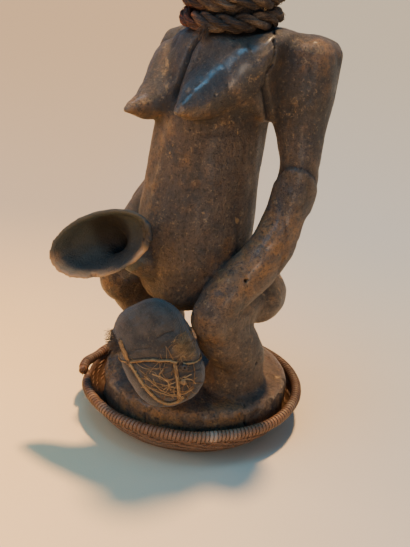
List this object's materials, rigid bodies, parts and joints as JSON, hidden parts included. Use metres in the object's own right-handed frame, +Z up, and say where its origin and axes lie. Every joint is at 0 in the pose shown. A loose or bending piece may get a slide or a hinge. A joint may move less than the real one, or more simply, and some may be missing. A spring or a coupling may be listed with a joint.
{
  "type": "carved wooden power figure",
  "caption": "Carved wooden standing figure on a round base in a shallow woven basket, with a trumpet navel, rope collar and cloth charm bundle.",
  "frame": {"origin": "middle of the basket's flat underside, on the floor", "axes": "+Z up, the figure faces -Y, its left side is +X"},
  "size_m": [0.284, 0.2997, 0.6999],
  "materials": {
    "wood": "dark worn patina, satin on the ridges",
    "basketry": "woven and wrapped cane, matt",
    "rope": "coarse twisted plant fibre",
    "cloth": "soiled cloth, matt",
    "raffia": "pale dry raffia"
  },
  "bodies": {
    "root": {"figure": "wood", "basket": "basketry", "rope_collar": "rope", "charm_bundle": "cloth", "raffia_binding": "raffia"}
  },
  "joints": []
}
